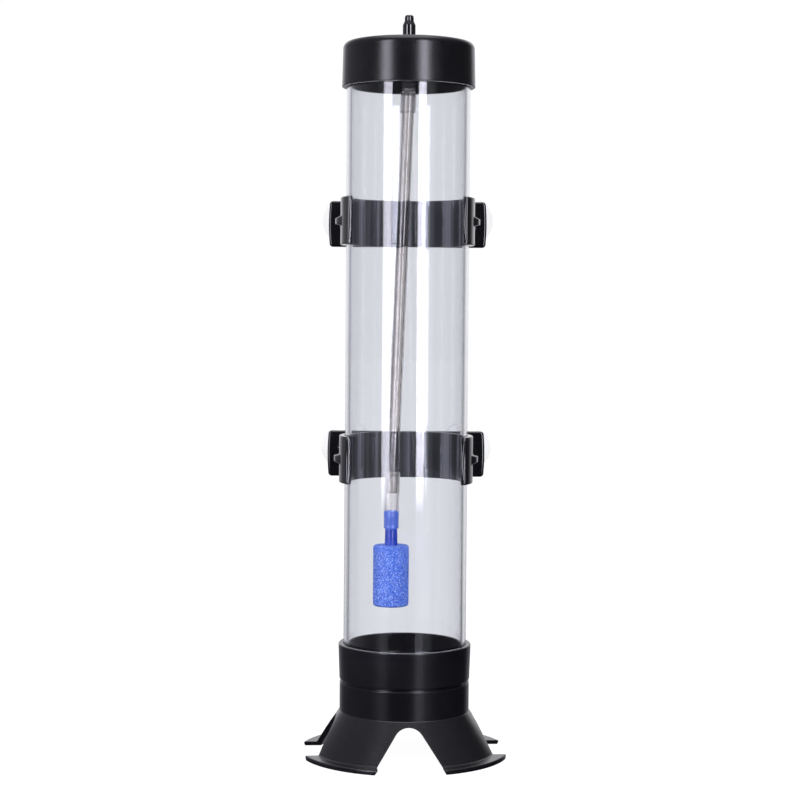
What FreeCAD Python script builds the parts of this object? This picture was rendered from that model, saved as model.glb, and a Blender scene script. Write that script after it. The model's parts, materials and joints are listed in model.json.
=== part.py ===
import FreeCAD, Part
import math
import os

# Carbon dioxide diffuser: a gas bell that stands on the bottom of an aquarium or pond.
# A clear tube stands on a footed stand and is closed by a cap. Gas enters through the cap's
# inlet, runs down a rigid riser and leaves through a porous stone that hangs in the tube.
# Two C-shaped clips hold the tube against a pane with suction cups.
#
# Millimetres, +Z up. The origin is on the tube's axis, in the plane the feet stand on.
# -Y is the open side of the clips, +Y the side of the suction cups.

os.makedirs("parts", exist_ok=True)

Vec = FreeCAD.Vector
ORIGIN = Vec(0, 0, 0)
X_AXIS = Vec(1, 0, 0)
Y_AXIS = Vec(0, 1, 0)
Z_AXIS = Vec(0, 0, 1)

# Clear tube
TUBE_RADIUS = 25.0
TUBE_WALL = 2.0
TUBE_BASE_Z = 37.7
TUBE_TOP_Z = 286.0
SLIDE_GAP = 0.08

# Cap, its gasket and the inlet that passes through it
CAP_RIM_Z = 271.0
CAP_TOP_Z = 289.1
CAP_RIM_RADIUS = 26.95
CAP_SHOULDER_RADIUS = 26.5
CAP_EDGE_ROUND = 2.7
CAP_RIM_ROUND = 0.3
GASKET_THICKNESS = 0.8
INLET_SEAT_RADIUS = 3.2
INLET_SHAFT_RADIUS = 2.6
INLET_CONE_Z = 296.3
INLET_NECK_Z = 297.7
INLET_TOP_Z = 300.0
INLET_TIP_RADIUS = 1.9
INLET_TIP_ROUND = 0.7
INLET_BORE_RADIUS = 1.1
INLET_FLANGE_RADIUS = 4.6
INLET_FLANGE_THICKNESS = 1.2
INLET_SEAL_THICKNESS = 0.5
SPIGOT_RADIUS = 2.0
SPIGOT_END_Z = 270.4

# Riser, which leans a little from its hose
RISER_PIVOT_Z = 269.1
RISER_LEAN_DEG = 2.0
RISER_RADIUS = 2.5
RISER_WALL = 0.8
RISER_TOP_DROP = 1.3
RISER_BASE_DROP = 162.3

# Hoses
HOSE_OVER_RISER = 3.25
UPPER_HOSE_TOP_Z = 279.8
UPPER_HOSE_RADIUS = 2.8
UPPER_HOSE_BASE_DROP = 8.2
LOWER_HOSE_TOP_DROP = 153.7
LOWER_HOSE_RADIUS = 3.1
LOWER_HOSE_BASE_Z = 92.4
HOSE_BORE_RADIUS = 2.0

# Air stone and its nozzle, which hang upright from the lower hose
STONE_PIVOT_Z = 103.25
NOZZLE_TOP_Z = 99.6
NOZZLE_BARB_RADIUS = 2.4
NOZZLE_TIP_RADIUS = 2.1
NOZZLE_SHAFT_RADIUS = 2.5
NOZZLE_STEM_RADIUS = 2.2
NOZZLE_BASE_Z = 78.2
NOZZLE_BORE_RADIUS = 0.9
STONE_RADIUS = 7.4
STONE_TOP_Z = 85.6
STONE_BASE_Z = 60.6
STONE_EDGE_ROUND = 1.0

# Collar that joins the tube to the stand
COLLAR_BASE_Z = 30.95
COLLAR_TOP_Z = 45.4
COLLAR_BASE_RADIUS = 26.55
COLLAR_TOP_RADIUS = 27.05
COLLAR_EDGE_ROUND = 0.4

# Stand: ring, spigot and a flared skirt that four V-shaped arches cut into feet
STAND_YAW_DEG = 4.0
SPIGOT_RING_TOP_Z = 37.6
RING_TOP_Z = 29.85
RING_BASE_Z = 17.9
RING_RADIUS = 26.45
STAND_BORE_RADIUS = 23.0
SKIRT_TOP_RADIUS = 26.65
SKIRT_FLARE_DEG = 34.2
SKIRT_WALL = 2.0
TOE_RADIUS = 42.7
TOE_THICKNESS = 1.9
TOE_CORNER_ROUND = 1.6
ARCH_BASE_HALF_WIDTH = 14.15
ARCH_SIDE_DEG = 33.9
ARCH_CROWN_Z = 16.0

# Clips
CLIP_CENTRES_Z = {"upper": 217.1, "lower": 120.8}
CLIP_HEIGHT = 19.2
BAND_THICKNESS = 2.2
BAND_HALF_WRAP_DEG = 120.0
BAND_EDGE_ROUND = 0.5
RIB_THICKNESS = 2.4
RIB_RADIUS = 14.0
RIB_REACH = 29.4
RIB_CENTRE_Y = 2.0
RIB_EDGE_ROUND = 0.8
PLATE_HALF_WIDTH = 33.1
PLATE_FRONT_Y = 27.1
PLATE_THICKNESS = 2.8
PLATE_CORNER_ROUND = 1.5
PLATE_EDGE_BEVEL = 0.7
WEB_HALF_WIDTH = 12.0
WEB_INSET = 2.5

# Suction cups
CUP_OFFSET_X = 26.3
CUP_OFFSET_Z = 2.1
CUP_RADIUS = 9.85
CUP_LIP_WIDTH = 0.9
CUP_LIP_THICKNESS = 0.6
CUP_FACE_Y = 39.0
CUP_SHOULDER_RADIUS = 4.4
CUP_HOLLOW_DEPTH = 4.4
CUP_NECK_RADIUS = 2.3
CUP_HEAD_RADIUS = 3.3
CUP_HEAD_LENGTH = 2.8
CUP_END_GAP = 0.15


def lathe(outline):
    """Turns a closed outline of (radius, height) points about the Z axis."""
    points = [Vec(radius, 0, height) for radius, height in outline]
    points.append(points[0])
    face = Part.Face(Part.makePolygon(points))
    return face.revolve(ORIGIN, Z_AXIS, 360)


def sleeve(inner, outer, low, high):
    """A plain round sleeve on the Z axis."""
    return lathe([(inner, low), (outer, low), (outer, high), (inner, high)])


def rod(radius, low, high):
    """A plain round rod on the Z axis."""
    return Part.makeCylinder(radius, high - low, Vec(0, 0, low))


def ring_edges(shape, radius, height):
    """The circular edges of a turned shape that have this radius at this height."""
    found = []
    for edge in shape.Edges:
        curve = edge.Curve
        if not isinstance(curve, Part.Circle):
            continue
        if abs(curve.Radius - radius) < 0.01 and abs(curve.Center.z - height) < 0.01:
            found.append(edge)
    return found


def leaned(shape):
    """Swings a shape about the riser's pivot, from upright to the riser's lean."""
    tilted = shape.copy()
    tilted.rotate(Vec(0, 0, RISER_PIVOT_Z), Y_AXIS, RISER_LEAN_DEG)
    return tilted


def cap_roof_z():
    """Height of the roof's underside, which rests on the gasket."""
    return TUBE_TOP_Z + GASKET_THICKNESS


def stone_x():
    """Where the riser's axis passes the pivot of the stone."""
    return -(RISER_PIVOT_Z - STONE_PIVOT_Z) * math.tan(math.radians(RISER_LEAN_DEG))


def diffuser_tube():
    return sleeve(TUBE_RADIUS - TUBE_WALL, TUBE_RADIUS, TUBE_BASE_Z, TUBE_TOP_Z)


def top_cap():
    skirt_bore = TUBE_RADIUS + SLIDE_GAP
    shell = lathe([
        (skirt_bore, CAP_RIM_Z),
        (CAP_RIM_RADIUS, CAP_RIM_Z),
        (CAP_SHOULDER_RADIUS, CAP_TOP_Z),
        (INLET_SEAT_RADIUS, CAP_TOP_Z),
        (INLET_SEAT_RADIUS, cap_roof_z()),
        (skirt_bore, cap_roof_z()),
    ])
    shell = shell.makeFillet(CAP_EDGE_ROUND, ring_edges(shell, CAP_SHOULDER_RADIUS, CAP_TOP_Z))
    return shell.makeFillet(CAP_RIM_ROUND, ring_edges(shell, CAP_RIM_RADIUS, CAP_RIM_Z))


def cap_gasket():
    return sleeve(TUBE_RADIUS - TUBE_WALL - 1, TUBE_RADIUS, TUBE_TOP_Z, cap_roof_z())


def inlet_nipple():
    """Hose nipple through the cap, with a flange under the roof and a spigot below."""
    flange_top = cap_roof_z() - INLET_SEAL_THICKNESS
    flange_base = flange_top - INLET_FLANGE_THICKNESS
    body = lathe([
        (INLET_BORE_RADIUS, SPIGOT_END_Z),
        (SPIGOT_RADIUS, SPIGOT_END_Z),
        (SPIGOT_RADIUS, flange_base),
        (INLET_FLANGE_RADIUS, flange_base),
        (INLET_FLANGE_RADIUS, flange_top),
        (INLET_SEAT_RADIUS, flange_top),
        (INLET_SEAT_RADIUS, CAP_TOP_Z),
        (INLET_SHAFT_RADIUS, CAP_TOP_Z),
        (INLET_SHAFT_RADIUS, INLET_CONE_Z),
        (INLET_TIP_RADIUS, INLET_NECK_Z),
        (INLET_TIP_RADIUS, INLET_TOP_Z),
        (INLET_BORE_RADIUS, INLET_TOP_Z),
    ])
    return body.makeFillet(INLET_TIP_ROUND, ring_edges(body, INLET_TIP_RADIUS, INLET_TOP_Z))


def inlet_seal():
    low = cap_roof_z() - INLET_SEAL_THICKNESS
    return sleeve(INLET_SEAT_RADIUS, INLET_FLANGE_RADIUS, low, cap_roof_z())


def riser_tube():
    top = RISER_PIVOT_Z - RISER_TOP_DROP
    base = RISER_PIVOT_Z - RISER_BASE_DROP
    return leaned(sleeve(RISER_RADIUS - RISER_WALL, RISER_RADIUS, base, top))


def bend_side(pivot, above):
    """A block on one side of the plane that halves a hose's bend at a pivot."""
    size = 60.0
    block = Part.makeBox(size, size, size, Vec(-size / 2, -size / 2, 0 if above else -size))
    block.rotate(ORIGIN, Y_AXIS, RISER_LEAN_DEG / 2)
    block.translate(pivot)
    return block


def mitred(upper, lower, pivot):
    """Joins two runs of hose that meet at a pivot, each cut back to the plane between them."""
    upper_run = upper.common(bend_side(pivot, True))
    lower_run = lower.common(bend_side(pivot, False))
    return upper_run.fuse(lower_run)


def upper_hose():
    """Hose from the cap's spigot to the riser, bent at the riser's pivot."""
    riser_top = RISER_PIVOT_Z - RISER_TOP_DROP
    hose_base = RISER_PIVOT_Z - UPPER_HOSE_BASE_DROP
    past_pivot = 1.0
    upright = sleeve(HOSE_BORE_RADIUS, UPPER_HOSE_RADIUS, RISER_PIVOT_Z - past_pivot, UPPER_HOSE_TOP_Z)
    stretched = lathe([
        (RISER_RADIUS, hose_base),
        (HOSE_OVER_RISER, hose_base),
        (HOSE_OVER_RISER, riser_top - 0.3),
        (UPPER_HOSE_RADIUS, riser_top + 0.6),
        (UPPER_HOSE_RADIUS, RISER_PIVOT_Z + past_pivot),
        (HOSE_BORE_RADIUS, RISER_PIVOT_Z + past_pivot),
        (HOSE_BORE_RADIUS, riser_top),
        (RISER_RADIUS, riser_top),
    ])
    return mitred(upright, leaned(stretched), Vec(0, 0, RISER_PIVOT_Z))


def lower_hose():
    """Hose from the riser to the stone's nozzle, bent at the stone's pivot."""
    hose_top = RISER_PIVOT_Z - LOWER_HOSE_TOP_DROP
    riser_base = RISER_PIVOT_Z - RISER_BASE_DROP
    pivot_drop = (RISER_PIVOT_Z - STONE_PIVOT_Z) / math.cos(math.radians(RISER_LEAN_DEG))
    past_pivot = 1.0
    run_end = RISER_PIVOT_Z - pivot_drop - past_pivot
    stretched = lathe([
        (HOSE_BORE_RADIUS, run_end),
        (LOWER_HOSE_RADIUS, run_end),
        (LOWER_HOSE_RADIUS, riser_base - 0.6),
        (HOSE_OVER_RISER, riser_base + 0.6),
        (HOSE_OVER_RISER, hose_top),
        (RISER_RADIUS, hose_top),
        (RISER_RADIUS, riser_base),
        (HOSE_BORE_RADIUS, riser_base),
    ])
    upright = lathe([
        (NOZZLE_BARB_RADIUS, LOWER_HOSE_BASE_Z),
        (LOWER_HOSE_RADIUS, LOWER_HOSE_BASE_Z),
        (LOWER_HOSE_RADIUS, STONE_PIVOT_Z + past_pivot),
        (HOSE_BORE_RADIUS, STONE_PIVOT_Z + past_pivot),
        (HOSE_BORE_RADIUS, NOZZLE_TOP_Z),
        (NOZZLE_BARB_RADIUS, NOZZLE_TOP_Z),
    ])
    upright.translate(Vec(stone_x(), 0, 0))
    return mitred(leaned(stretched), upright, Vec(stone_x(), 0, STONE_PIVOT_Z))


def airstone_nozzle():
    """Barbed nozzle glued into the stone."""
    nozzle = lathe([
        (NOZZLE_BORE_RADIUS, NOZZLE_BASE_Z),
        (NOZZLE_STEM_RADIUS, NOZZLE_BASE_Z),
        (NOZZLE_STEM_RADIUS, STONE_TOP_Z),
        (NOZZLE_SHAFT_RADIUS, STONE_TOP_Z),
        (NOZZLE_SHAFT_RADIUS, LOWER_HOSE_BASE_Z - 0.2),
        (NOZZLE_TIP_RADIUS, LOWER_HOSE_BASE_Z - 0.2),
        (NOZZLE_TIP_RADIUS, NOZZLE_TOP_Z - 2.4),
        (NOZZLE_BARB_RADIUS, NOZZLE_TOP_Z - 2.4),
        (NOZZLE_TIP_RADIUS, NOZZLE_TOP_Z),
        (NOZZLE_BORE_RADIUS, NOZZLE_TOP_Z),
    ])
    nozzle.translate(Vec(stone_x(), 0, 0))
    return nozzle


def airstone_body():
    """Porous stone with a blind pocket for the nozzle."""
    stone = lathe([
        (0, STONE_BASE_Z),
        (STONE_RADIUS, STONE_BASE_Z),
        (STONE_RADIUS, STONE_TOP_Z),
        (NOZZLE_STEM_RADIUS, STONE_TOP_Z),
        (NOZZLE_STEM_RADIUS, NOZZLE_BASE_Z),
        (0, NOZZLE_BASE_Z),
    ])
    rims = ring_edges(stone, STONE_RADIUS, STONE_BASE_Z) + ring_edges(stone, STONE_RADIUS, STONE_TOP_Z)
    stone = stone.makeFillet(STONE_EDGE_ROUND, rims)
    stone.translate(Vec(stone_x(), 0, 0))
    return stone


def base_collar():
    """Collar glued to the tube's foot; its lower half slips over the stand's spigot."""
    collar = lathe([
        (TUBE_RADIUS, COLLAR_BASE_Z),
        (COLLAR_BASE_RADIUS, COLLAR_BASE_Z),
        (COLLAR_TOP_RADIUS, COLLAR_TOP_Z),
        (TUBE_RADIUS, COLLAR_TOP_Z),
    ])
    return collar.makeFillet(COLLAR_EDGE_ROUND, ring_edges(collar, COLLAR_TOP_RADIUS, COLLAR_TOP_Z))


def arch_cutter():
    """A prism along Y whose section is one arch: sloping sides and a round crown."""
    side = math.radians(ARCH_SIDE_DEG)
    apex_z = ARCH_BASE_HALF_WIDTH / math.tan(side)
    crown_radius = (apex_z - ARCH_CROWN_Z) * math.sin(side) / (1 - math.sin(side))
    crown_centre_z = ARCH_CROWN_Z - crown_radius
    tangent_x = crown_radius * math.cos(side)
    tangent_z = crown_centre_z + crown_radius * math.sin(side)
    below = 5.0
    foot_x = ARCH_BASE_HALF_WIDTH + below * math.tan(side)
    reach = TOE_RADIUS + 5.0
    left_foot = Vec(-foot_x, -reach, -below)
    left_tangent = Vec(-tangent_x, -reach, tangent_z)
    crown = Vec(0, -reach, ARCH_CROWN_Z)
    right_tangent = Vec(tangent_x, -reach, tangent_z)
    right_foot = Vec(foot_x, -reach, -below)
    outline = Part.Wire([
        Part.makeLine(left_foot, left_tangent),
        Part.Arc(left_tangent, crown, right_tangent).toShape(),
        Part.makeLine(right_tangent, right_foot),
        Part.makeLine(right_foot, left_foot),
    ])
    return Part.Face(outline).extrude(Vec(0, 2 * reach, 0))


def toe_corner_cutters():
    """Upright prisms that round off the corners where the arches cut the rim of the toes."""
    side_x = ARCH_BASE_HALF_WIDTH - TOE_THICKNESS * math.tan(math.radians(ARCH_SIDE_DEG))
    to_centre = TOE_RADIUS - TOE_CORNER_ROUND
    centre_x = side_x + TOE_CORNER_ROUND
    centre = Vec(centre_x, -math.sqrt(to_centre ** 2 - centre_x ** 2), 0)
    on_side = Vec(side_x, centre.y, 0)
    on_rim = centre * (TOE_RADIUS / to_centre)
    outward = (centre / to_centre + Vec(-1, 0, 0)).normalize()
    on_bend = centre + outward * TOE_CORNER_ROUND
    past_rim = Vec(on_rim.x, -TOE_RADIUS - 1, 0)
    past_side = Vec(side_x, -TOE_RADIUS - 1, 0)
    outline = Part.Wire([
        Part.Arc(on_side, on_bend, on_rim).toShape(),
        Part.makeLine(on_rim, past_rim),
        Part.makeLine(past_rim, past_side),
        Part.makeLine(past_side, on_side),
    ])
    prism = Part.Face(outline).extrude(Vec(0, 0, TOE_THICKNESS + 2))
    prism.translate(Vec(0, 0, -1))
    cutters = []
    for quarter in range(4):
        for corner in (prism, prism.mirror(ORIGIN, X_AXIS)):
            cutter = corner.copy()
            cutter.rotate(ORIGIN, Z_AXIS, 90 * quarter)
            cutters.append(cutter)
    return cutters


def stand():
    """Spigot, ring and skirt in one moulding, standing on four toes."""
    flare = math.tan(math.radians(SKIRT_FLARE_DEG))
    wall_across = SKIRT_WALL / math.cos(math.radians(SKIRT_FLARE_DEG))
    outer_at_toe = SKIRT_TOP_RADIUS + (RING_BASE_Z - TOE_THICKNESS) * flare
    inner_at_floor = SKIRT_TOP_RADIUS + RING_BASE_Z * flare - wall_across
    bore_end_z = (inner_at_floor - STAND_BORE_RADIUS) / flare
    body = lathe([
        (inner_at_floor, 0),
        (TOE_RADIUS, 0),
        (TOE_RADIUS, TOE_THICKNESS),
        (outer_at_toe, TOE_THICKNESS),
        (SKIRT_TOP_RADIUS, RING_BASE_Z),
        (RING_RADIUS, RING_BASE_Z),
        (RING_RADIUS, RING_TOP_Z),
        (TUBE_RADIUS - SLIDE_GAP, RING_TOP_Z),
        (TUBE_RADIUS - SLIDE_GAP, SPIGOT_RING_TOP_Z),
        (STAND_BORE_RADIUS, SPIGOT_RING_TOP_Z),
        (STAND_BORE_RADIUS, bore_end_z),
    ])
    for quarter in range(2):
        arch = arch_cutter()
        arch.rotate(ORIGIN, Z_AXIS, 90 * quarter)
        body = body.cut(arch)
    for cutter in toe_corner_cutters():
        body = body.cut(cutter)
    body.rotate(ORIGIN, Z_AXIS, STAND_YAW_DEG)
    return body


def wedge(half_angle_deg, reach, low, high):
    """A sector prism about the Z axis, centred on -Y."""
    half = math.radians(half_angle_deg)
    corners = [
        Vec(0, 0, low),
        Vec(-reach * math.sin(half), -reach * math.cos(half), low),
        Vec(reach * math.sin(half), -reach * math.cos(half), low),
        Vec(0, 0, low),
    ]
    return Part.Face(Part.makePolygon(corners)).extrude(Vec(0, 0, high - low))


def clip_plate(low, high):
    """Back plate with rounded corners and bevelled front edges."""
    plate = Part.makeBox(
        2 * PLATE_HALF_WIDTH,
        PLATE_THICKNESS,
        high - low,
        Vec(-PLATE_HALF_WIDTH, PLATE_FRONT_Y, low),
    )
    corners = [e for e in plate.Edges if abs(e.tangentAt(e.FirstParameter).y) > 0.9]
    plate = plate.makeFillet(PLATE_CORNER_ROUND, corners)
    front = [e for e in plate.Edges if abs(e.BoundBox.YMax - PLATE_FRONT_Y) < 0.01]
    return plate.makeChamfer(PLATE_EDGE_BEVEL, front)


def clip(centre_z):
    """C-shaped band with a rib at mid-height on each side, joined to its back plate by a web."""
    low = centre_z - CLIP_HEIGHT / 2
    high = centre_z + CLIP_HEIGHT / 2
    bore = TUBE_RADIUS + SLIDE_GAP
    outer = bore + BAND_THICKNESS
    mouth = wedge(180 - BAND_HALF_WRAP_DEG, 2 * outer, low - 1, high + 1)
    band = sleeve(bore, outer, low, high)
    rims = [e for z in (low, high) for e in ring_edges(band, outer, z)]
    band = band.makeFillet(BAND_EDGE_ROUND, rims).cut(mouth)
    bore_rod = rod(bore, low - 1, high + 1)
    shape = band
    for side in (-1, 1):
        rib = rod(RIB_RADIUS, centre_z - RIB_THICKNESS / 2, centre_z + RIB_THICKNESS / 2)
        rib = rib.makeFillet(RIB_EDGE_ROUND, [e for e in rib.Edges if len(e.Vertexes) == 1])
        rib.translate(Vec(side * (RIB_REACH - RIB_RADIUS), RIB_CENTRE_Y, 0))
        shape = shape.fuse(rib.cut(bore_rod).cut(mouth))
    web = Part.makeBox(
        2 * WEB_HALF_WIDTH,
        PLATE_FRONT_Y + PLATE_EDGE_BEVEL - TUBE_RADIUS / 2,
        high - low - 2 * WEB_INSET,
        Vec(-WEB_HALF_WIDTH, TUBE_RADIUS / 2, low + WEB_INSET),
    )
    shape = shape.fuse(web.cut(bore_rod)).fuse(clip_plate(low, high))
    for side in (-1, 1):
        hole = Part.makeCylinder(
            CUP_NECK_RADIUS + SLIDE_GAP,
            PLATE_THICKNESS + 2,
            Vec(side * CUP_OFFSET_X, PLATE_FRONT_Y - 1, centre_z + CUP_OFFSET_Z),
            Y_AXIS,
        )
        shape = shape.cut(hole)
    return shape.removeSplitter()


def suction_cup(side, clip_z):
    """Cup with a neck through the clip's plate and a head that keeps it there."""
    head_base = PLATE_FRONT_Y - CUP_END_GAP
    shoulder_top = PLATE_FRONT_Y + PLATE_THICKNESS + CUP_END_GAP
    flare_start = shoulder_top + 1.6
    lip_back = CUP_FACE_Y - CUP_LIP_THICKNESS
    cup = lathe([
        (0, head_base - CUP_HEAD_LENGTH),
        (CUP_HEAD_RADIUS * 0.7, head_base - CUP_HEAD_LENGTH),
        (CUP_HEAD_RADIUS, head_base - CUP_HEAD_LENGTH * 0.6),
        (CUP_HEAD_RADIUS, head_base),
        (CUP_NECK_RADIUS, head_base),
        (CUP_NECK_RADIUS, shoulder_top),
        (CUP_SHOULDER_RADIUS, shoulder_top),
        (CUP_SHOULDER_RADIUS, flare_start),
        (CUP_SHOULDER_RADIUS + 1.8, flare_start + 2.4),
        (CUP_RADIUS, lip_back),
        (CUP_RADIUS, CUP_FACE_Y),
        (CUP_RADIUS - CUP_LIP_WIDTH, CUP_FACE_Y),
        (CUP_SHOULDER_RADIUS, CUP_FACE_Y - CUP_HOLLOW_DEPTH * 0.75),
        (0, CUP_FACE_Y - CUP_HOLLOW_DEPTH),
    ])
    cup.rotate(ORIGIN, X_AXIS, -90)
    cup.translate(Vec(side * CUP_OFFSET_X, 0, clip_z + CUP_OFFSET_Z))
    return cup


def all_nodes():
    """Every sub-part, by node name."""
    nodes = {
        "top_cap": top_cap(),
        "cap_gasket": cap_gasket(),
        "inlet_nipple": inlet_nipple(),
        "inlet_seal": inlet_seal(),
        "upper_hose": upper_hose(),
        "riser_tube": riser_tube(),
        "lower_hose": lower_hose(),
        "airstone_nozzle": airstone_nozzle(),
        "airstone_body": airstone_body(),
        "diffuser_tube": diffuser_tube(),
        "base_collar": base_collar(),
        "stand": stand(),
    }
    for level, clip_z in CLIP_CENTRES_Z.items():
        nodes[f"{level}_clip"] = clip(clip_z)
        nodes[f"{level}_left_suction_cup"] = suction_cup(-1, clip_z)
        nodes[f"{level}_right_suction_cup"] = suction_cup(1, clip_z)
    return nodes


for name, shape in all_nodes().items():
    solid = shape.Solids[0]
    box = solid.BoundBox
    print(f"{name}: {len(shape.Solids)} solid, valid {shape.isValid()}, {solid.Volume:.1f} mm3,"
          f" z {box.ZMin:.2f} to {box.ZMax:.2f}")
    shape.exportStep(f"parts/{name}.step")
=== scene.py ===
import json
import math

import bmesh
import bpy
from mathutils import Matrix, Vector, noise


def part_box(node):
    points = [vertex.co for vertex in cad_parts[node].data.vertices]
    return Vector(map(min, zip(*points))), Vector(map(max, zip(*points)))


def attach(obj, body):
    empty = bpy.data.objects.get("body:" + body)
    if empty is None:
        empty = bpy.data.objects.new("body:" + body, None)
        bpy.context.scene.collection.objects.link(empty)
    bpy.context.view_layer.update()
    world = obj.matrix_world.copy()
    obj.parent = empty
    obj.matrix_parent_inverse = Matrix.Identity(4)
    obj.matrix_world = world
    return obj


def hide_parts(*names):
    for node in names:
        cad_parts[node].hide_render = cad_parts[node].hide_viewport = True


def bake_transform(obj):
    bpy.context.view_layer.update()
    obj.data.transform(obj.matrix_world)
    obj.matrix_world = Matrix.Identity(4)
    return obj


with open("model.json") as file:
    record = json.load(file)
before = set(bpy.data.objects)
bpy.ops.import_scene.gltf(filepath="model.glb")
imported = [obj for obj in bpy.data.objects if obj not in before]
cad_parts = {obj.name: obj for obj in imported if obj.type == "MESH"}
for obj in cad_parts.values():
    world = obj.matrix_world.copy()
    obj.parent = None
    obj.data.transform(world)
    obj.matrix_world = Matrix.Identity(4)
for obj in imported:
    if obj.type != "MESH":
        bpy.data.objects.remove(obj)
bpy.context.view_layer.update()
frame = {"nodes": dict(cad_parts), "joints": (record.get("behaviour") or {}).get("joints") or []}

MM = 0.001

# A carbon dioxide diffuser: a clear gas bell on a footed stand, with a cap, a riser and an air
# stone inside, and two clips with suction cups. The open side of the clips faces -Y.


# ---------------------------------------------------------------- places and sizes, in metres

tube_low, tube_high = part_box("diffuser_tube")
cap_low, cap_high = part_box("top_cap")
nipple_low, nipple_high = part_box("inlet_nipple")
collar_low, collar_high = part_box("base_collar")
_, stand_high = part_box("stand")
stone_low, stone_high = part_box("airstone_body")
nozzle_low, nozzle_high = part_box("airstone_nozzle")
_, upper_hose_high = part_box("upper_hose")
lower_hose_low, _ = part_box("lower_hose")
joints = {joint["name"]: joint for joint in frame["joints"]}
riser_pivot = Vector(joints["riser_swing"]["pos_m"])
stone_pivot = Vector(joints["stone_swing"]["pos_m"])
riser_lean = math.atan2(riser_pivot.x - stone_pivot.x, riser_pivot.z - stone_pivot.z)

TUBE_RADIUS = tube_high.x
TUBE_WALL = 2.0 * MM
SLIDE_GAP = 0.08 * MM
GASKET_THICKNESS = 0.8 * MM
INLET_SEAL_THICKNESS = 0.5 * MM
INLET_SEAT_RADIUS = 3.2 * MM
INLET_SHAFT_RADIUS = 2.6 * MM
INLET_FLANGE_RADIUS = 4.6 * MM
SPIGOT_RADIUS = 2.0 * MM
RISER_RADIUS = 2.5 * MM
RISER_BORE = 1.7 * MM
RISER_TOP_Z = riser_pivot.z - 1.3 * MM
RISER_BASE_Z = riser_pivot.z - 162.3 * MM
UPPER_HOSE_RADIUS = 2.8 * MM
LOWER_HOSE_RADIUS = 3.1 * MM
HOSE_OVER_RISER = 3.25 * MM
NOZZLE_STEM_RADIUS = 2.2 * MM
NOZZLE_TIP_RADIUS = 2.1 * MM


# ---------------------------------------------------------------- mesh helpers

ON_AXIS = 1e-7


def new_object(name, bm):
    """A shaded object from a bmesh, with its faces turned outwards."""
    bmesh.ops.recalc_face_normals(bm, faces=bm.faces)
    mesh = bpy.data.meshes.new(name)
    bm.to_mesh(mesh)
    bm.free()
    obj = bpy.data.objects.new(name, mesh)
    bpy.context.scene.collection.objects.link(obj)
    shade(obj)
    return obj


def shade(obj, angle_deg=38.0):
    """Shades smooth, but sharp where faces turn by more than the angle."""
    obj.data.polygons.foreach_set("use_smooth", [True] * len(obj.data.polygons))
    obj.data.set_sharp_from_angle(angle=math.radians(angle_deg))


def softened(points, steps):
    """Rounds an outline of (radius, height, corner radius), with that many steps to a corner."""
    result = []
    count = len(points)
    for i, (r, z, corner) in enumerate(points):
        here = Vector((r, z))
        if corner <= 0:
            result.append(here)
            continue
        before = (Vector(points[i - 1][:2]) - here).normalized()
        after = (Vector(points[(i + 1) % count][:2]) - here).normalized()
        half = before.angle(after) / 2
        reach = corner / math.tan(half)
        centre = here + (before + after).normalized() * corner / math.sin(half)
        start = here + before * reach - centre
        turn = (here + after * reach - centre).angle_signed(start)
        for step in range(steps + 1):
            swung = start.copy()
            swung.rotate(Matrix.Rotation(turn * step / steps, 2))
            result.append(centre + swung)
    return result


def with_support(outline):
    """Adds a point close to each end of the long sides, so that rounded edges shade locally."""
    near = 0.08 * MM
    result = []
    for i, start in enumerate(outline):
        start, end = Vector(start), Vector(outline[(i + 1) % len(outline)])
        result.append(start)
        length = (end - start).length
        if length > 6 * near and max(start.x, end.x) > ON_AXIS:
            result.append(start.lerp(end, near / length))
            result.append(end.lerp(start, near / length))
    return result


def lathe(name, outline, segments, place=None):
    """A closed solid of revolution about Z from a closed outline of (radius, height)."""
    bm = bmesh.new()
    rings = []
    for r, z in with_support(outline):
        if r < ON_AXIS:
            rings.append([bm.verts.new((0, 0, z))])
            continue
        ring = []
        for s in range(segments):
            angle = 2 * math.pi * s / segments
            ring.append(bm.verts.new((r * math.cos(angle), r * math.sin(angle), z)))
        rings.append(ring)
    for i, ring in enumerate(rings):
        following = rings[(i + 1) % len(rings)]
        if len(ring) == 1 and len(following) == 1:
            continue
        for s in range(segments):
            t = (s + 1) % segments
            corners = [
                ring[s % len(ring)],
                ring[t % len(ring)],
                following[t % len(following)],
                following[s % len(following)],
            ]
            bm.faces.new(list(dict.fromkeys(corners)))
    if place is not None:
        bmesh.ops.transform(bm, matrix=place, verts=bm.verts)
    return new_object(name, bm)


def prism(name, outline, low, high):
    """Extrudes a closed (x, z) outline along Y."""
    bm = bmesh.new()
    near = [bm.verts.new((x, low, z)) for x, z in outline]
    far = [bm.verts.new((x, high, z)) for x, z in outline]
    bm.faces.new(near)
    bm.faces.new(list(reversed(far)))
    for i in range(len(outline)):
        j = (i + 1) % len(outline)
        bm.faces.new((near[i], far[i], far[j], near[j]))
    return new_object(name, bm)


def bake_modifiers(obj):
    """Replaces an object's mesh by what its modifiers make of it."""
    bpy.context.view_layer.update()
    made = bpy.data.meshes.new_from_object(obj.evaluated_get(bpy.context.evaluated_depsgraph_get()))
    obj.modifiers.clear()
    old = obj.data
    obj.data = made
    bpy.data.meshes.remove(old)


def combine(obj, other, operation):
    """Cuts other from obj, or joins it on, and removes other."""
    modifier = obj.modifiers.new("combine", "BOOLEAN")
    modifier.object = other
    modifier.operation = operation
    modifier.solver = "MANIFOLD"
    bake_modifiers(obj)
    bpy.data.objects.remove(other)


def weight_normals(obj):
    """Makes large faces shade flat, with the turn kept to the small faces at the edges."""
    modifier = obj.modifiers.new("weighted", "WEIGHTED_NORMAL")
    modifier.keep_sharp = True
    bake_modifiers(obj)


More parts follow.
